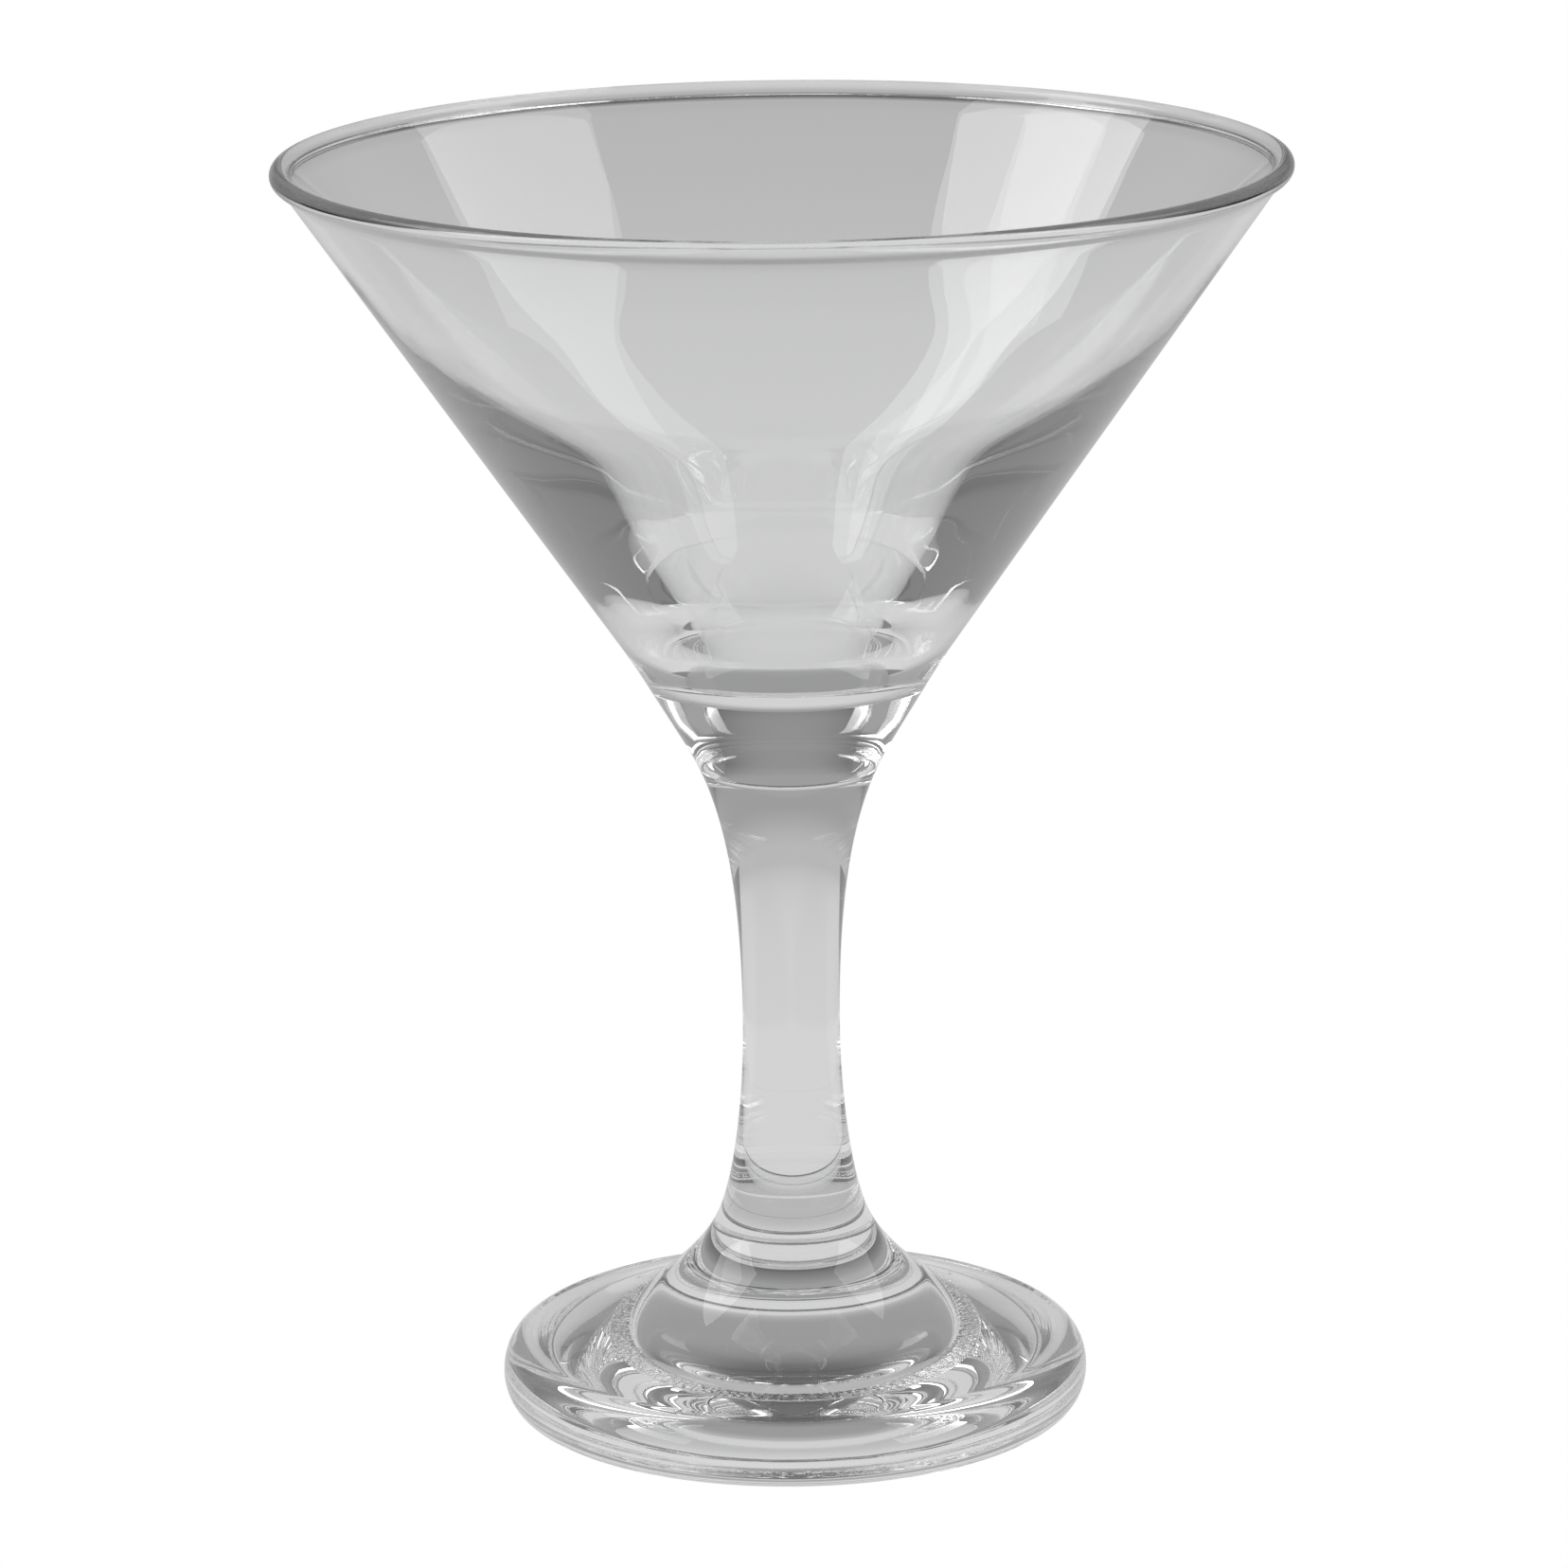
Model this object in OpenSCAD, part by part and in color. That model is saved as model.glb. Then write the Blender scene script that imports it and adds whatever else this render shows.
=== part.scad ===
// Cocktail glass: a wide cone bowl on a solid drawn stem and a round pressed foot.
// Every piece is a solid of revolution about Z. The origin is the centre of the standing plane.
// The three pieces meet face to face at two hot welds.

/* [Bowl] */
// Height from the standing plane to the top of the rim
glass_h = 136; // [132:0.5:140]
// Diameter over the round bead of the rim
rim_d = 106.6; // [100:0.2:112]
// Diameter of the bead's own round section
bead_d = 2; // [1.8:0.1:2.4]
// How far the bead stands out from the cone's outer face
bead_proud = 0.5; // [0.3:0.05:0.7]
// Wall thickness just under the bead
wall_t = 1.3; // [1.1:0.1:1.5]
// Wall thickness where the cavity's wall turns down into its small well
low_wall_t = 6.5; // [5.6:0.1:7]
// Angle of the cavity's wall just above the well, measured from the vertical
low_wall_lean = 41; // [38:0.5:44]
// Height at which the cavity's wall turns down into its small well
well_top_z = 87; // [86:0.5:88]
// Diameter of the corner between the well's side and its bottom
corner_d = 19.2; // [18:0.2:20]
// Height of the corner between the well's side and its bottom
corner_z = 82.2; // [81.8:0.1:83]
// Slope of the well's bottom at its corner
corner_slope = 14; // [8:1:18]
// Height of the cavity's lowest point
well_z = 81; // [80.4:0.2:81.2]
// Diameter where the cone meets the steeper collar under it
collar_top_d = 33; // [32:0.2:34]
// Height where the cone meets the collar
collar_top_z = 82.5; // [81.5:0.5:83.5]
// Diameter where the collar starts to curve in towards the stem
collar_low_d = 21.6; // [21:0.2:22.4]
// Height where the collar starts to curve in towards the stem
collar_low_z = 73; // [72.5:0.5:74]

/* [Stem] */
// Diameter at the narrowest place of the stem
waist_d = 10.4; // [9:0.2:12]
// Height of the narrowest place of the stem
waist_z = 42; // [40:0.5:45]
// Diameter at the weld between bowl and stem
bowl_weld_d = 19; // [18.4:0.2:19.4]
// Height of the weld between bowl and stem
bowl_weld_z = 70.5; // [70:0.5:71]
// Angle of the outline at the bowl weld, measured from the vertical
bowl_weld_lean = 24.6; // [22:0.2:26]
// Diameter at the weld between stem and foot
foot_weld_d = 17.1; // [16.5:0.1:18]
// Height of the weld between stem and foot
foot_weld_z = 20; // [19:0.5:21]
// Angle of the outline at the foot weld, measured from the vertical
foot_weld_lean = 28.8; // [26:0.2:31]

/* [Foot] */
// Outer diameter of the foot
foot_d = 63.2; // [60:0.2:68]
// Height of the foot's top at its edge
edge_h = 7.6; // [7:0.1:8.4]
// Height of the widest line around the foot's edge
edge_mid_z = 3.6; // [3:0.1:4.2]
// Width of the rounding from the widest line up to the foot's top
edge_round = 2.9; // [2.4:0.1:3.2]
// Width of the rounding from the widest line down to the standing ring
edge_low_round = 2.5; // [2:0.1:3]
// Slope of the foot's top near its edge
top_slope = 5; // [3:0.5:8]
// Diameter of the shallow recess under the foot
recess_d = 30; // [28:0.5:34]
// Height of the recess's roof above the standing plane
recess_h = 1.5; // [1.2:0.1:2.4]
// Inner diameter of the flat standing ring
ring_in_d = 52; // [50:0.5:53]
// Height of the patterned band, between the recess and the standing ring, above the standing plane
band_h = 0.6; // [0.4:0.1:0.8]

/* [Hidden] */
$fn = 128;
curve_n = 14;
arc_n = 6;

// Lengths by which the handles of each curve pull it along its end directions
waist_pull_up = 12.6;
bowl_weld_pull = 7.4;
collar_pull = 0.8;
waist_pull_down = 6.2;
foot_weld_pull = 5.2;
flare_pull = 5.6;
top_pull = 9.5;
wall_top_pull = 36;
wall_low_pull = 45.8;
well_side_pull = 3;
corner_pull = 1;
bottom_pull = 3.4;
bottom_flat_pull = 4.3;
recess_flat_pull = 12;
recess_side_in = 1;
recess_side_up = 0.8;

bead_r = bead_d / 2;
bead_at = [rim_d / 2 - bead_r, glass_h - bead_r];
collar_top = [collar_top_d / 2, collar_top_z];
collar_low = [collar_low_d / 2, collar_low_z];

// The cone's outer face passes the bead's centre at this distance
bead_cover = bead_r - bead_proud;
cone_span = bead_at - collar_top;
cone_lean = atan2(cone_span[0], cone_span[1]) + asin(bead_cover / norm(cone_span));
cone_out = [cos(cone_lean), -sin(cone_lean)];
cone_top_out = bead_at + bead_cover * cone_out;
cone_top_in = bead_at - (wall_t - bead_cover) * cone_out;
well_edge_r = collar_top[0] + (well_top_z - collar_top_z) * tan(cone_lean) - low_wall_t / cos(cone_lean);
well_edge = [well_edge_r, well_top_z];
cone_dir = [sin(cone_lean), cos(cone_lean)];
low_wall_dir = [sin(low_wall_lean), cos(low_wall_lean)];
corner = [corner_d / 2, corner_z];
corner_dir = [cos(corner_slope), sin(corner_slope)];

collar_dir = (collar_top - collar_low) / norm(collar_top - collar_low);
bowl_weld = [bowl_weld_d / 2, bowl_weld_z];
bowl_weld_dir = [sin(bowl_weld_lean), cos(bowl_weld_lean)];
waist = [waist_d / 2, waist_z];
foot_weld = [foot_weld_d / 2, foot_weld_z];
foot_weld_dir = [-sin(foot_weld_lean), cos(foot_weld_lean)];

foot_r = foot_d / 2;
edge_in_r = foot_r - edge_round;
top_dir = [-cos(top_slope), sin(top_slope)];
low_edge_at = [foot_r - edge_low_round, edge_mid_z];
high_edge_at = [edge_in_r, edge_mid_z];
recess_rim = [recess_d / 2, band_h];

// Points along a cubic curve from a to d, pulled towards b and c
function curve(a, b, c, d) = [
    for (i = [0:curve_n])
        let (t = i / curve_n, s = 1 - t)
        s ^ 3 * a + 3 * s ^ 2 * t * b + 3 * s * t ^ 2 * c + t ^ 3 * d
];

// Points along a quarter of an ellipse about middle, from angle from_a to angle to_a
function quarter(middle, half_w, half_h, from_a, to_a) = [
    for (i = [0:arc_n])
        let (a = from_a + (to_a - from_a) * i / arc_n)
        middle + [half_w * cos(a), half_h * sin(a)]
];

// Outer outline from the bowl weld up to the collar
collar_curve = curve(
    bowl_weld,
    bowl_weld + collar_pull * bowl_weld_dir,
    collar_low - collar_pull * collar_dir,
    collar_low
);

// Inner outline from the rim's bead down the cavity's wall to the edge of the well
wall_curve = curve(
    cone_top_in,
    cone_top_in - wall_top_pull * cone_dir,
    well_edge + wall_low_pull * low_wall_dir,
    well_edge
);

// Side of the well from its edge down to its corner
well_side_curve = curve(
    well_edge,
    well_edge - well_side_pull * low_wall_dir,
    corner + corner_pull * corner_dir,
    corner
);

// Shallow bottom of the well from its corner in to the axis
well_bottom_curve = curve(
    corner,
    corner - bottom_pull * corner_dir,
    [bottom_flat_pull, well_z],
    [0, well_z]
);

// Outline of the stem from the foot weld to the waist, and from the waist to the bowl weld
lower_stem_curve = curve(
    foot_weld,
    foot_weld + foot_weld_pull * foot_weld_dir,
    waist - [0, waist_pull_down],
    waist
);
upper_stem_curve = curve(
    waist,
    waist + [0, waist_pull_up],
    bowl_weld - bowl_weld_pull * bowl_weld_dir,
    bowl_weld
);

// Top of the foot from its edge up to the weld
flare_curve = curve(
    [edge_in_r, edge_h],
    [edge_in_r, edge_h] + top_pull * top_dir,
    foot_weld - flare_pull * foot_weld_dir,
    foot_weld
);

// Roof of the recess under the foot, from the axis out to its rim
recess_curve = curve(
    [0, recess_h],
    [recess_flat_pull, recess_h],
    recess_rim + [-recess_side_in, recess_side_up],
    recess_rim
);

module bowl() {
    color("lightcyan", 0.4)
        rotate_extrude() {
            polygon(concat(
                [[0, bowl_weld_z]],
                collar_curve,
                [collar_top, cone_top_out],
                wall_curve,
                well_side_curve,
                well_bottom_curve
            ));
            translate(bead_at) circle(r = bead_r);
        }
}

module stem() {
    color("lightblue", 0.5)
        rotate_extrude()
            polygon(concat(
                [[0, foot_weld_z]],
                lower_stem_curve,
                upper_stem_curve,
                [[0, bowl_weld_z]]
            ));
}

module foot() {
    color("powderblue", 0.5)
        rotate_extrude()
            polygon(concat(
                recess_curve,
                [[ring_in_d / 2 - band_h, band_h], [ring_in_d / 2, 0]],
                quarter(low_edge_at, edge_low_round, edge_mid_z, -90, 0),
                quarter(high_edge_at, edge_round, edge_h - edge_mid_z, 0, 90),
                flare_curve,
                [[0, foot_weld_z]]
            ));
}

bowl();
stem();
foot();
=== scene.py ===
import math

import bmesh
import bpy
from mathutils import Matrix, Vector, noise


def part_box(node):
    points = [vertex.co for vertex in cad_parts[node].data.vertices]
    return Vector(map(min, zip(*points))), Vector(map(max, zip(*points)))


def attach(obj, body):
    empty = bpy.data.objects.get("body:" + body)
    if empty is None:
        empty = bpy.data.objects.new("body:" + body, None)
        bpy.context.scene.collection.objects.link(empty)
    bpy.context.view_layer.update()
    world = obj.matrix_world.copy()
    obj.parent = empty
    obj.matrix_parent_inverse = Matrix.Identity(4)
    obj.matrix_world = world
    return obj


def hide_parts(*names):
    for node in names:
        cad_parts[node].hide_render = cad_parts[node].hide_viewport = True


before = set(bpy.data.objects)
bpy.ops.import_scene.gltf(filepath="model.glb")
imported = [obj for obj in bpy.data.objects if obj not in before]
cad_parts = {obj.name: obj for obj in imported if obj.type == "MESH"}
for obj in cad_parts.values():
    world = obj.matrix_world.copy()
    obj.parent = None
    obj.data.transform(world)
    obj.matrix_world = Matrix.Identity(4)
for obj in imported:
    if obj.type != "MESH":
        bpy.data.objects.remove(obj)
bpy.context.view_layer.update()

bowl_low, bowl_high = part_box("bowl")
stem_low, stem_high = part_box("stem")
foot_low, foot_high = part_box("foot")

MM = 0.001

# ---------------------------------------------------------------- sizes, in millimetres and degrees
#
# A "pull" is how far the handle of a curve reaches along its end direction.

RIM_TOP = bowl_high.z / MM
RIM_R = min(bowl_high.x, bowl_high.y) / MM
BOWL_WELD_Z = bowl_low.z / MM
FOOT_WELD_Z = stem_low.z / MM
FOOT_R = min(foot_high.x, foot_high.y) / MM

BEAD_R = 1.0
BEAD_PROUD = 0.5
WALL = 1.3
LOW_WALL = 6.5
LOW_WALL_LEAN = 41.0
WELL_EDGE_Z = 87.0
WELL_Z = 81.0
WALL_TOP_PULL = 36.0
WALL_LOW_PULL = 45.8
WELL_SIDE_PULL = 3.0
CORNER = Vector((9.6, 82.2))
CORNER_SLOPE = 14.0
BOTTOM_PULL = 3.4
BOTTOM_FLAT_PULL = 4.3
COLLAR_TOP = Vector((16.5, 82.5))
COLLAR_LOW = Vector((10.8, 73.0))
COLLAR_PULL = 0.8
SHOULDER = 2.2
SHOULDER_PULL = 0.35 * SHOULDER
FILLET = 0.6
FILLET_PULL = 0.3
BEAD_PULL = 0.25
OUTER_FILLET_TURN = 25
INNER_FILLET_TURN = 20

BOWL_WELD = Vector((9.5, BOWL_WELD_Z))
BOWL_WELD_LEAN = 24.6
BOWL_WELD_PULL = 7.4
WAIST = Vector((5.2, 42.0))
WAIST_PULL_UP = 12.6
WAIST_PULL_DOWN = 6.2
FOOT_WELD = Vector((8.55, FOOT_WELD_Z))
FOOT_WELD_LEAN = -28.8
FOOT_WELD_PULL = 5.2

EDGE_H = 7.6
EDGE_MID_Z = 3.6
EDGE_ROUND = 2.9
EDGE_LOW_ROUND = 2.5
TOP_SLOPE = 5
TOP_PULL = 9.5
FLARE_PULL = 5.6
RECESS_R = 15.0
RECESS_H = 1.5
RING_IN_R = 26.0
BAND_H = 0.6
RECESS_FLAT_PULL = RECESS_R - 3
RECESS_SIDE_IN = 1
RECESS_SIDE_UP = 0.8

# The stipple: outer radius, depth in millimetres and bumps per millimetre; its grain in metres
STIPPLE_R = 17.6
STIPPLE_H = 0.2
STIPPLE_SCALE = 2.4
GRAIN_SCALE = 3500.0
GRAIN_H = 0.00001

# ---------------------------------------------------------------- outlines, as (radius, height)


def lean(degrees):
    """Unit vector that leans outward from the vertical by this angle."""
    a = math.radians(degrees)
    return Vector((math.sin(a), math.cos(a)))


def curve(a, b, c, d, steps=24):
    """Points along a cubic curve from a to d, pulled towards b and c."""
    points = []
    for i in range(steps + 1):
        t = i / steps
        s = 1 - t
        points.append(s**3 * a + 3 * s * s * t * b + 3 * s * t * t * c + t**3 * d)
    return points


def line(a, b, steps=8):
    """Evenly spaced points from a to b."""
    return [a.lerp(b, i / steps) for i in range(steps + 1)]


def arc(middle, half_w, half_h, from_a, to_a, steps=16):
    """Points along an ellipse about middle, between two angles in degrees."""
    points = []
    for i in range(steps + 1):
        a = math.radians(from_a + (to_a - from_a) * i / steps)
        points.append(middle + Vector((half_w * math.cos(a), half_h * math.sin(a))))
    return points


def join(*runs):
    """One outline from several runs, without the points that two runs share."""
    outline = []
    for point in (p for run in runs for p in run):
        if not outline or (point - outline[-1]).length > 1e-4:
            outline.append(point)
    return outline


def bowl_outline():
    bead = Vector((RIM_R - BEAD_R, RIM_TOP - BEAD_R))
    cover = BEAD_R - BEAD_PROUD
    span = bead - COLLAR_TOP
    cone_lean = math.degrees(math.atan2(span.x, span.y) + math.asin(cover / span.length))
    up = lean(cone_lean)
    out = Vector((up.y, -up.x))
    collar = (COLLAR_TOP - COLLAR_LOW).normalized()
    weld_dir = lean(BOWL_WELD_LEAN)

    # The collar rises from the weld, then bends into the cone over a soft shoulder
    rise = curve(BOWL_WELD, BOWL_WELD + COLLAR_PULL * weld_dir,
                 COLLAR_LOW - COLLAR_PULL * collar, COLLAR_LOW, 8)
    shoulder = curve(
        COLLAR_TOP - SHOULDER * collar,
        COLLAR_TOP - SHOULDER_PULL * collar,
        COLLAR_TOP + SHOULDER_PULL * up,
        COLLAR_TOP + SHOULDER * up,
        8,
    )

    # The bead is most of a circle, with a small fillet on each face of the wall
    face_turn = math.degrees(math.atan2(out.y, out.x))
    outer_reach = math.degrees(math.acos(cover / BEAD_R))
    inner_reach = math.degrees(math.acos((WALL - cover) / BEAD_R))
    round_rim = arc(bead, BEAD_R, BEAD_R, face_turn - outer_reach + OUTER_FILLET_TURN,
                    face_turn + 180 + inner_reach - INNER_FILLET_TURN, 24)
    outer_foot = bead + cover * out - (math.sqrt(BEAD_R**2 - cover**2) + FILLET) * up
    inner_foot = bead - (WALL - cover) * out
    inner_foot -= (math.sqrt(BEAD_R**2 - (WALL - cover) ** 2) + FILLET) * up
    start_dir = (round_rim[1] - round_rim[0]).normalized()
    end_dir = (round_rim[-1] - round_rim[-2]).normalized()
    outer_fillet = curve(outer_foot, outer_foot + FILLET_PULL * up,
                         round_rim[0] - BEAD_PULL * start_dir, round_rim[0], 6)
    inner_fillet = curve(round_rim[-1], round_rim[-1] + BEAD_PULL * end_dir,
                         inner_foot + FILLET_PULL * up, inner_foot, 6)

    # The cavity's wall thickens downward to the edge of a small well with a shallow bottom
    low_dir = lean(LOW_WALL_LEAN)
    edge_r = COLLAR_TOP.x + (WELL_EDGE_Z - COLLAR_TOP.y) * up.x / up.y - LOW_WALL / up.y
    edge = Vector((edge_r, WELL_EDGE_Z))
    slope = math.radians(CORNER_SLOPE)
    corner_dir = Vector((math.cos(slope), math.sin(slope)))
    wall = curve(inner_foot, inner_foot - WALL_TOP_PULL * up, edge + WALL_LOW_PULL * low_dir,
                 edge, 60)
    side = curve(edge, edge - WELL_SIDE_PULL * low_dir, CORNER + corner_dir, CORNER, 14)
    bottom = curve(CORNER, CORNER - BOTTOM_PULL * corner_dir, Vector((BOTTOM_FLAT_PULL, WELL_Z)),
                   Vector((0, WELL_Z)), 16)
    return join([Vector((0, BOWL_WELD_Z))], rise, line(COLLAR_LOW, shoulder[0], 6), shoulder,
                line(shoulder[-1], outer_foot, 50), outer_fillet, round_rim, inner_fillet,
                wall, side, bottom)


def stem_outline():
    low_dir = lean(FOOT_WELD_LEAN)
    high_dir = lean(BOWL_WELD_LEAN)
    lower = curve(FOOT_WELD, FOOT_WELD + FOOT_WELD_PULL * low_dir,
                  WAIST - Vector((0, WAIST_PULL_DOWN)), WAIST, 36)
    upper = curve(WAIST, WAIST + Vector((0, WAIST_PULL_UP)),
                  BOWL_WELD - BOWL_WELD_PULL * high_dir, BOWL_WELD, 40)
    return join([Vector((0, FOOT_WELD_Z))], lower, upper, [Vector((0, BOWL_WELD_Z))])


def foot_outline():
    middle = Vector((FOOT_R - EDGE_ROUND, EDGE_MID_Z))
    edge_top = Vector((middle.x, EDGE_H))
    slope = math.radians(TOP_SLOPE)
    top_dir = Vector((-math.cos(slope), math.sin(slope)))
    recess = curve(
        Vector((0, RECESS_H)),
        Vector((RECESS_FLAT_PULL, RECESS_H)),
        Vector((RECESS_R - RECESS_SIDE_IN, BAND_H + RECESS_SIDE_UP)),
        Vector((RECESS_R, BAND_H)),
        20,
    )
    band = line(recess[-1], Vector((RING_IN_R - BAND_H, BAND_H)), 48)
    step = line(band[-1], Vector((RING_IN_R, 0)), 2)
    low_middle = Vector((FOOT_R - EDGE_LOW_ROUND, EDGE_MID_Z))
    low_edge = arc(low_middle, EDGE_LOW_ROUND, EDGE_MID_Z, -90, 0, 10)
    high_edge = arc(middle, EDGE_ROUND, EDGE_H - EDGE_MID_Z, 0, 90, 10)
    flare = curve(edge_top, edge_top + TOP_PULL * top_dir,
                  FOOT_WELD - FLARE_PULL * lean(FOOT_WELD_LEAN), FOOT_WELD, 40)
    return join(recess, band, step, low_edge, high_edge, flare, [Vector((0, FOOT_WELD_Z))])


# ---------------------------------------------------------------- meshes


def lathe(name, outline, sectors, shape=None):
    """A closed solid of revolution; shape(point, angle) may move each point a little, in millimetres."""
    mesh = bmesh.new()
    rings = []
    for point in outline:
        if point.x < 1e-6:
            rings.append([mesh.verts.new((0, 0, point.y * MM))])
            continue
        ring = []
        for i in range(sectors):
            angle = 2 * math.pi * i / sectors
            moved = shape(point, angle) if shape else point
            ring.append(mesh.verts.new((
                moved.x * math.cos(angle) * MM,
                moved.x * math.sin(angle) * MM,
                moved.y * MM,
            )))
        rings.append(ring)
    for low, high in zip(rings, rings[1:]):
        for i in range(sectors):
            j = (i + 1) % sectors
            if len(low) == 1:
                mesh.faces.new((low[0], high[j], high[i]))
            elif len(high) == 1:
                mesh.faces.new((low[i], low[j], high[0]))
            else:
                mesh.faces.new((low[i], low[j], high[j], high[i]))
    bmesh.ops.recalc_face_normals(mesh, faces=mesh.faces)
    for face in mesh.faces:
        face.smooth = True
    data = bpy.data.meshes.new(name)
    mesh.to_mesh(data)
    mesh.free()
    piece = bpy.data.objects.new(name, data)
    bpy.context.scene.collection.objects.link(piece)
    return piece


def open_weld(piece, height, weld_glass):
    """Gives the flat weld face at this height the see-through weld material, with a sharp rim."""
    data = piece.data
    if weld_glass.name not in data.materials:
        data.materials.append(weld_glass)
    slot = data.materials.find(weld_glass.name)
    level = height * MM
    flat = {f.index for f in data.polygons
            if all(abs(data.vertices[v].co.z - level) < 1e-7 for v in f.vertices)}
    for index in flat:
        data.polygons[index].material_index = slot
        data.polygons[index].use_smooth = False


# ---------------------------------------------------------------- materials


def nodes_of(material):
    material.use_nodes = True
    tree = material.node_tree
    tree.nodes.clear()
    return tree.nodes, tree.links


def chain(nodes, links, kind, operation, first, second):
    """A math or vector math node; each input is a socket or a plain value."""
    node = nodes.new(kind)
    node.operation = operation
    for socket, value in zip(node.inputs, (first, second)):
        if isinstance(value, bpy.types.NodeSocket):
            links.new(value, socket)
        else:
            socket.default_value = value
    return node.outputs["Value"]


def fade(nodes, links, value, start, end, first, last):
    """Goes smoothly from first to last as value goes from start to end."""
    node = nodes.new("ShaderNodeMapRange")
    node.interpolation_type = "SMOOTHSTEP"
    links.new(value, node.inputs["Value"])
    for name, setting in (("From Min", start), ("From Max", end), ("To Min", first),
                          ("To Max", last)):
        if isinstance(setting, bpy.types.NodeSocket):
            links.new(setting, node.inputs[name])
        else:
            node.inputs[name].default_value = setting
    return node.outputs["Result"]


def make_glass(name, tint, wave_scale, wave_height):
    """Clear soda-lime glass, with the faint draw lines and ripples of pressed ware."""
    material = bpy.data.materials.new(name)
    nodes, links = nodes_of(material)
    place = nodes.new("ShaderNodeTexCoord")
    stretch = nodes.new("ShaderNodeMapping")
    ripple = nodes.new("ShaderNodeTexNoise")
    bump = nodes.new("ShaderNodeBump")
    shader = nodes.new("ShaderNodeBsdfPrincipled")
    output = nodes.new("ShaderNodeOutputMaterial")
    stretch.inputs["Scale"].default_value = wave_scale
    ripple.inputs["Scale"].default_value = 1.0
    ripple.inputs["Detail"].default_value = 2.0
    ripple.inputs["Roughness"].default_value = 0.45
    bump.inputs["Strength"].default_value = 1.0
    bump.inputs["Distance"].default_value = wave_height
    shader.inputs["Base Color"].default_value = tint
    shader.inputs["Roughness"].default_value = 0.0
    shader.inputs["IOR"].default_value = 1.52
    shader.inputs["Transmission Weight"].default_value = 1.0
    links.new(place.outputs["Object"], stretch.inputs["Vector"])
    links.new(stretch.outputs["Vector"], ripple.inputs["Vector"])
    links.new(ripple.outputs["Fac"], bump.inputs["Height"])
    links.new(bump.outputs["Normal"], shader.inputs["Normal"])
    links.new(shader.outputs["BSDF"], output.inputs["Surface"])
    return material


def add_stipple(material):
    """Fine grain on the patterned band under the foot, on top of the stipple's own shape."""
    nodes, links = material.node_tree.nodes, material.node_tree.links
    place = nodes.new("ShaderNodeTexCoord")
    split = nodes.new("ShaderNodeSeparateXYZ")
    flat = nodes.new("ShaderNodeCombineXYZ")
    grain = nodes.new("ShaderNodeTexNoise")
    bump = nodes.new("ShaderNodeBump")
    links.new(place.outputs["Object"], split.inputs["Vector"])
    links.new(split.outputs["X"], flat.inputs["X"])
    links.new(split.outputs["Y"], flat.inputs["Y"])
    reach = chain(nodes, links, "ShaderNodeVectorMath", "LENGTH", flat.outputs["Vector"], (0, 0, 0))
    begins = fade(nodes, links, reach, (RECESS_R - 0.2) * MM, (RECESS_R + 0.2) * MM, 0, 1)
    ends = fade(nodes, links, reach, (STIPPLE_R - 1.5) * MM, STIPPLE_R * MM, begins, 0)
    below = fade(nodes, links, split.outputs["Z"], 1.2 * MM, 1.4 * MM, ends, 0)
    grain.inputs["Scale"].default_value = GRAIN_SCALE
    grain.inputs["Detail"].default_value = 1.0
    bump.inputs["Strength"].default_value = 1.0
    bump.inputs["Distance"].default_value = GRAIN_H
    links.new(place.outputs["Object"], grain.inputs["Vector"])
    height = chain(nodes, links, "ShaderNodeMath", "MULTIPLY", grain.outputs["Fac"], below)
    shader = next(node for node in nodes if node.type == "BSDF_PRINCIPLED")
    first = shader.inputs["Normal"].links[0].from_node
    links.new(height, bump.inputs["Height"])
    links.new(first.outputs["Normal"], bump.inputs["Normal"])
    links.new(bump.outputs["Normal"], shader.inputs["Normal"])


def make_weld():
    """The fused joint between two pieces: light goes straight through it."""
    material = bpy.data.materials.new("weld_glass")
    nodes, links = nodes_of(material)
    shader = nodes.new("ShaderNodeBsdfTransparent")
    output = nodes.new("ShaderNodeOutputMaterial")
    links.new(shader.outputs["BSDF"], output.inputs["Surface"])
    return material


# ---------------------------------------------------------------- the three pieces


def ripple_wall(point, angle):
    """The blown cone's faces wander by a few hundredths of a millimetre."""
    spot = Vector((math.cos(angle) * 2.2, math.sin(angle) * 2.2, point.y * 0.045))
    wander = noise.noise(spot, noise_basis="PERLIN_ORIGINAL") * 0.05
    fade = min(1.0, max(0.0, (point.y - 84) / 10)) * min(1.0, max(0.0, (132 - point.y) / 6))
    return Vector((point.x + wander * fade, point.y))


def stipple(point, angle):
    """Fine bumps hang in the shallow band under the foot and never reach the standing plane."""
    if abs(point.y - BAND_H) > 1e-4 or not RECESS_R < point.x < STIPPLE_R:
        return point
    spot = Vector((point.x * math.cos(angle), point.x * math.sin(angle), 0)) * STIPPLE_SCALE
    bump = 0.5 + 0.5 * noise.noise(spot, noise_basis="PERLIN_ORIGINAL")
    return Vector((point.x, point.y - STIPPLE_H * bump))


bowl_glass = make_glass("bowl_glass", (0.985, 0.99, 0.988, 1), (60, 60, 12), 0.00004)
stem_glass = make_glass("stem_glass", (0.985, 0.99, 0.988, 1), (80, 80, 15), 0.00001)
foot_glass = make_glass("foot_glass", (0.985, 0.992, 0.988, 1), (90, 90, 90), 0.00002)
add_stipple(foot_glass)
weld_glass = make_weld()

bowl = lathe("bowl_blown", bowl_outline(), 288, ripple_wall)
stem = lathe("stem_drawn", stem_outline(), 256)
foot = lathe("foot_pressed", foot_outline(), 720, stipple)

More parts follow.
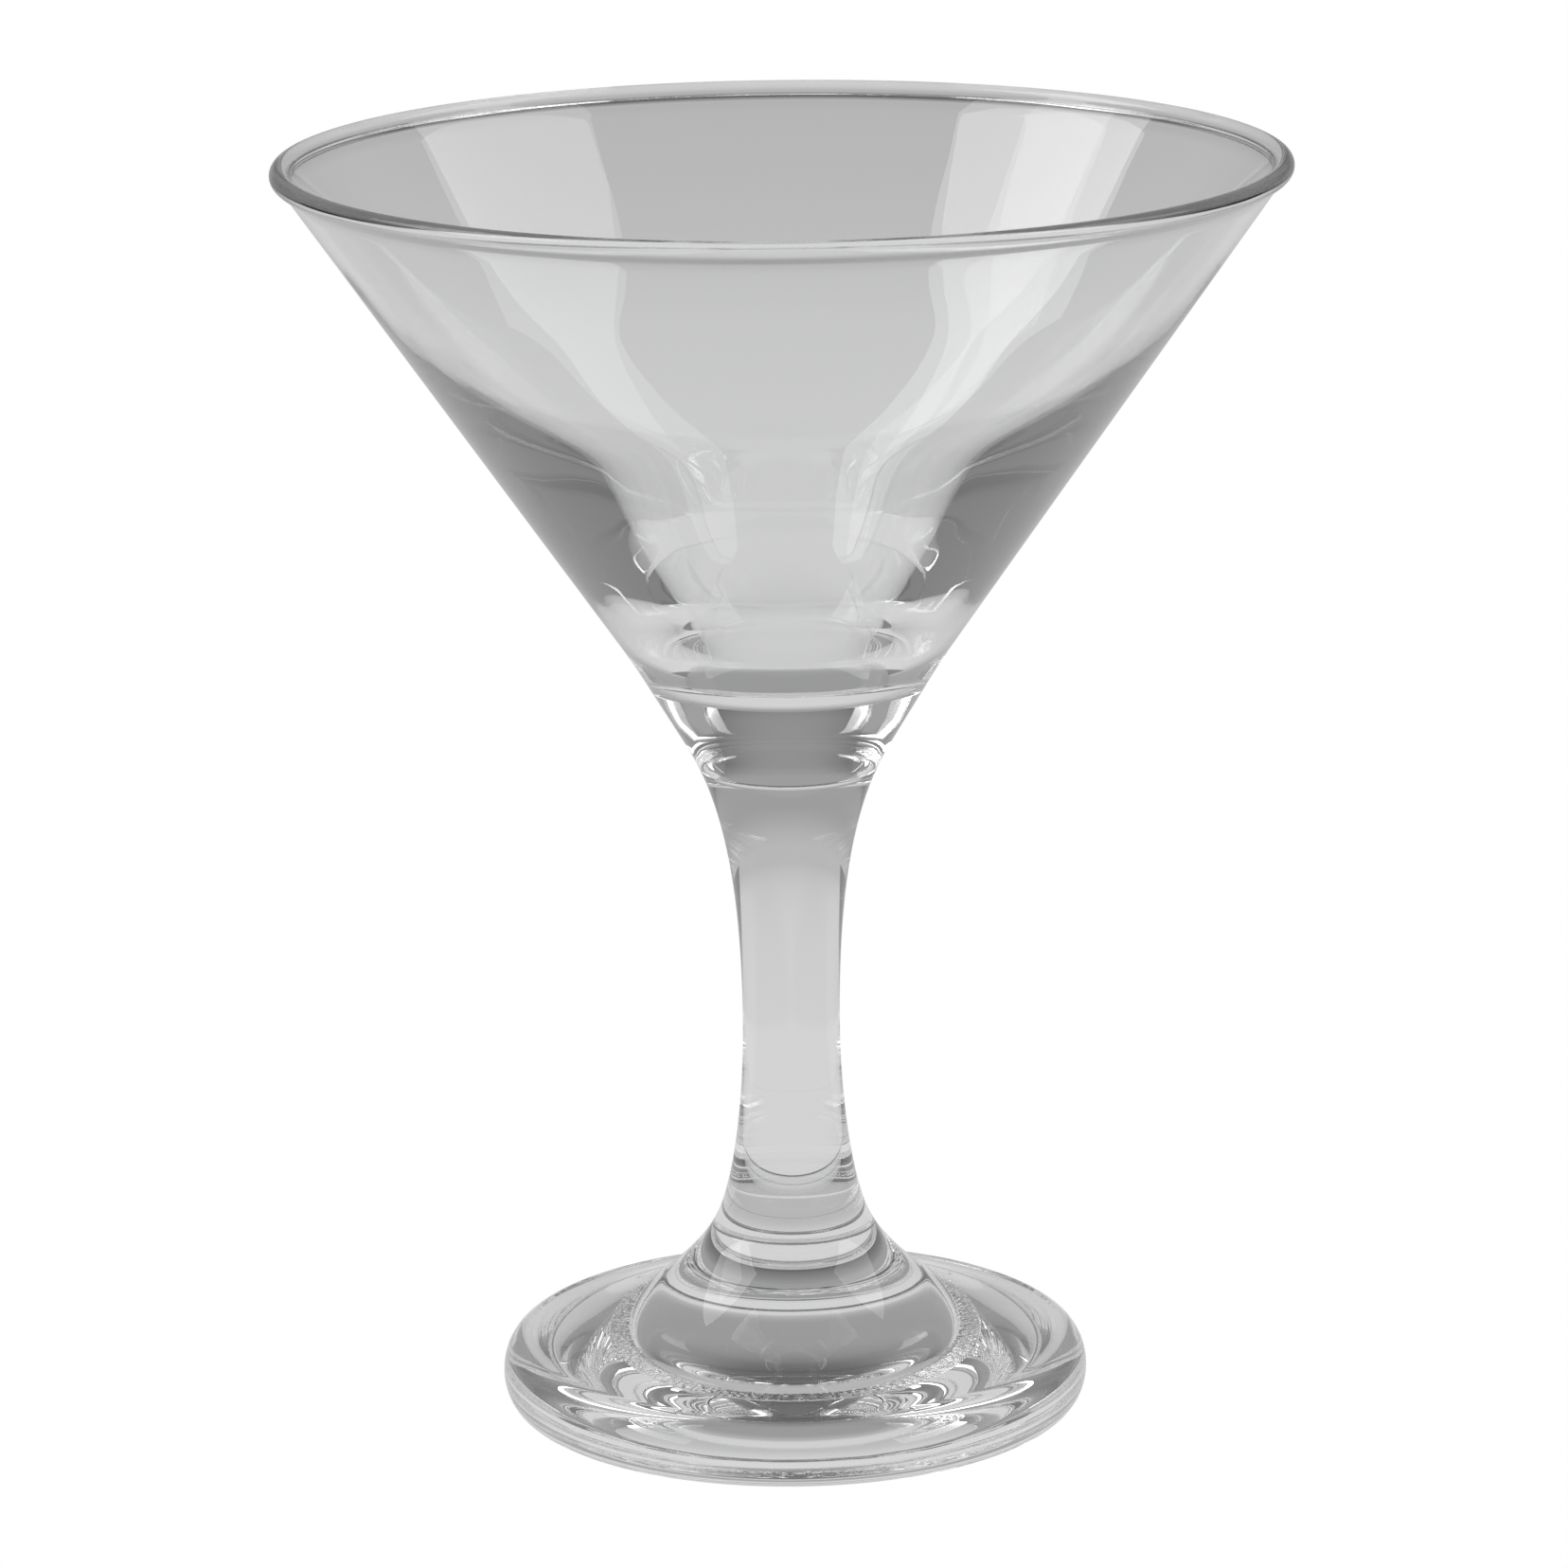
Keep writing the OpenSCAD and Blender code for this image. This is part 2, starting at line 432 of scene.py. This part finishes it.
for piece, node, slot, glass, welds in (
    (bowl, "bowl", "bowl_glass", bowl_glass, [BOWL_WELD_Z]),
    (stem, "stem", "stem_glass", stem_glass, [BOWL_WELD_Z, FOOT_WELD_Z]),
    (foot, "foot", "foot_glass", foot_glass, [FOOT_WELD_Z]),
):
    piece.data.materials.append(glass)
    for height in welds:
        open_weld(piece, height, weld_glass)
    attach(piece, "root")
    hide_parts(node)

# ---------------------------------------------------------------- studio

scene = bpy.context.scene

# Brightness that light going through the glass meets
# Painted shadow: the floor is darker under the foot
FLOOR_PAINTED_SHADOW = 0.5
FLOOR_NEAR = 0.72
FLOOR_FAR = 0.48
# Painted shade: the floor's sides are dark
FLOOR_SIDE_PAINTED_SHADE = 0.19
WALL_LOW = 0.50
WALL_HIGH = 0.33
WALL_SIDE = 0.19
CEILING = 0.12


def sidewise(nodes, links, spot, pull):
    """How far a place or direction lies to the side of the pale strip behind the glass."""
    split = nodes.new("ShaderNodeSeparateXYZ")
    links.new(spot, split.inputs["Vector"])
    across = chain(nodes, links, "ShaderNodeMath", "ABSOLUTE", split.outputs["X"], 0)
    ahead = chain(nodes, links, "ShaderNodeMath", "MULTIPLY", split.outputs["Y"], pull)
    return chain(nodes, links, "ShaderNodeMath", "SUBTRACT", across, ahead), split


def white_to_camera(nodes, links, value):
    """The value for light that passes through the glass, and plain white for the camera."""
    path = nodes.new("ShaderNodeLightPath")
    seen = nodes.new("ShaderNodeMix")
    seen.data_type = "FLOAT"
    seen.inputs["B"].default_value = 1.0
    links.new(path.outputs["Is Camera Ray"], seen.inputs["Factor"])
    links.new(value, seen.inputs["A"])
    return seen.outputs["Result"]


def make_floor():
    """A pale floor: white to the camera; through the glass a grey strip, darker towards the back, with
    painted shade on its dark sides and a painted shadow under the foot.
    """
    data = bpy.data.meshes.new("floor")
    half = 6.0
    data.from_pydata([(-half, -half, 0), (half, -half, 0), (half, half, 0), (-half, half, 0)],
                     [], [(0, 1, 2, 3)])
    floor = bpy.data.objects.new("floor", data)
    floor.location.z = -0.0002
    scene.collection.objects.link(floor)
    material = bpy.data.materials.new("floor_painted_shade")
    nodes, links = nodes_of(material)
    place = nodes.new("ShaderNodeTexCoord")
    aside, split = sidewise(nodes, links, place.outputs["Object"], 1.0)
    reach = chain(nodes, links, "ShaderNodeVectorMath", "LENGTH", place.outputs["Object"], (0, 0, 0))
    far = fade(nodes, links, split.outputs["Y"], -0.3, 1.2, FLOOR_NEAR, FLOOR_FAR)
    # Painted shadow under the foot, fading out between 15 and 30 mm from the middle
    near = fade(nodes, links, reach, 0.015, 0.03, FLOOR_PAINTED_SHADOW, far)
    # Painted shade on the sides of the floor
    shade = fade(nodes, links, aside, 0.12, 0.17, near, FLOOR_SIDE_PAINTED_SHADE)
    glow = nodes.new("ShaderNodeEmission")
    output = nodes.new("ShaderNodeOutputMaterial")
    links.new(white_to_camera(nodes, links, shade), glow.inputs["Strength"])
    links.new(glow.outputs["Emission"], output.inputs["Surface"])
    data.materials.append(material)


def make_world():
    """White to the camera; through the glass a soft grey room, dark to the sides."""
    world = bpy.data.worlds.new("room")
    scene.world = world
    nodes, links = nodes_of(world)
    place = nodes.new("ShaderNodeTexCoord")
    aside, split = sidewise(nodes, links, place.outputs["Generated"], 0.9)
    back = fade(nodes, links, split.outputs["Z"], -0.06, 0.16, WALL_LOW, WALL_HIGH)
    walls = fade(nodes, links, aside, 0.45, 0.75, back, WALL_SIDE)
    shade = fade(nodes, links, split.outputs["Z"], 0.35, 0.7, walls, CEILING)
    sky = nodes.new("ShaderNodeBackground")
    sky.inputs["Color"].default_value = (1, 1, 1, 1)
    output = nodes.new("ShaderNodeOutputWorld")
    links.new(white_to_camera(nodes, links, shade), sky.inputs["Strength"])
    links.new(sky.outputs["Background"], output.inputs["Surface"])


def softbox(name, azimuth, elevation, wide, high, glow):
    """A soft light that faces the glass; azimuth 0 is behind it, 90 to the right, sizes in degrees."""
    distance = 3.0
    a, e = math.radians(azimuth), math.radians(elevation)
    towards = Vector((math.sin(a) * math.cos(e), math.cos(a) * math.cos(e), math.sin(e)))
    data = bpy.data.lights.new(name, "AREA")
    data.shape = "RECTANGLE"
    data.size = 2 * distance * math.tan(math.radians(wide / 2))
    data.size_y = 2 * distance * math.tan(math.radians(high / 2))
    data.energy = glow * math.pi * data.size * data.size_y
    lamp = bpy.data.objects.new(name, data)
    lamp.location = towards * distance + Vector((0, 0, RIM_TOP * MM / 2))
    lamp.rotation_euler = towards.to_track_quat("Z", "Y").to_euler()
    lamp.visible_camera = False
    scene.collection.objects.link(lamp)


def make_camera():
    data = bpy.data.cameras.new("camera")
    data.sensor_width = 36.0
    data.lens = 161.85
    camera = bpy.data.objects.new("camera", data)
    tilt = Matrix.Rotation(math.radians(90 - 14.247), 4, "X")
    turn = Matrix.Rotation(math.radians(0.0391), 4, "Z")
    roll = Matrix.Rotation(math.radians(-0.658), 4, "Z")
    camera.matrix_world = Matrix.Translation((0, -0.72708, 0.25310)) @ turn @ tilt @ roll
    scene.collection.objects.link(camera)
    scene.camera = camera


make_floor()
make_world()
softbox("light_left", -87, 43, 36, 32, 2.1)
softbox("light_left_core", -86, 41, 16, 24, 1.2)
softbox("light_right", 87, 42, 34, 30, 1.5)
make_camera()

scene.cycles.max_bounces = 80
scene.cycles.transmission_bounces = 80
scene.cycles.glossy_bounces = 80
scene.cycles.transparent_max_bounces = 40
scene.cycles.caustics_reflective = True
scene.cycles.caustics_refractive = True
scene.view_settings.view_transform = "Standard"
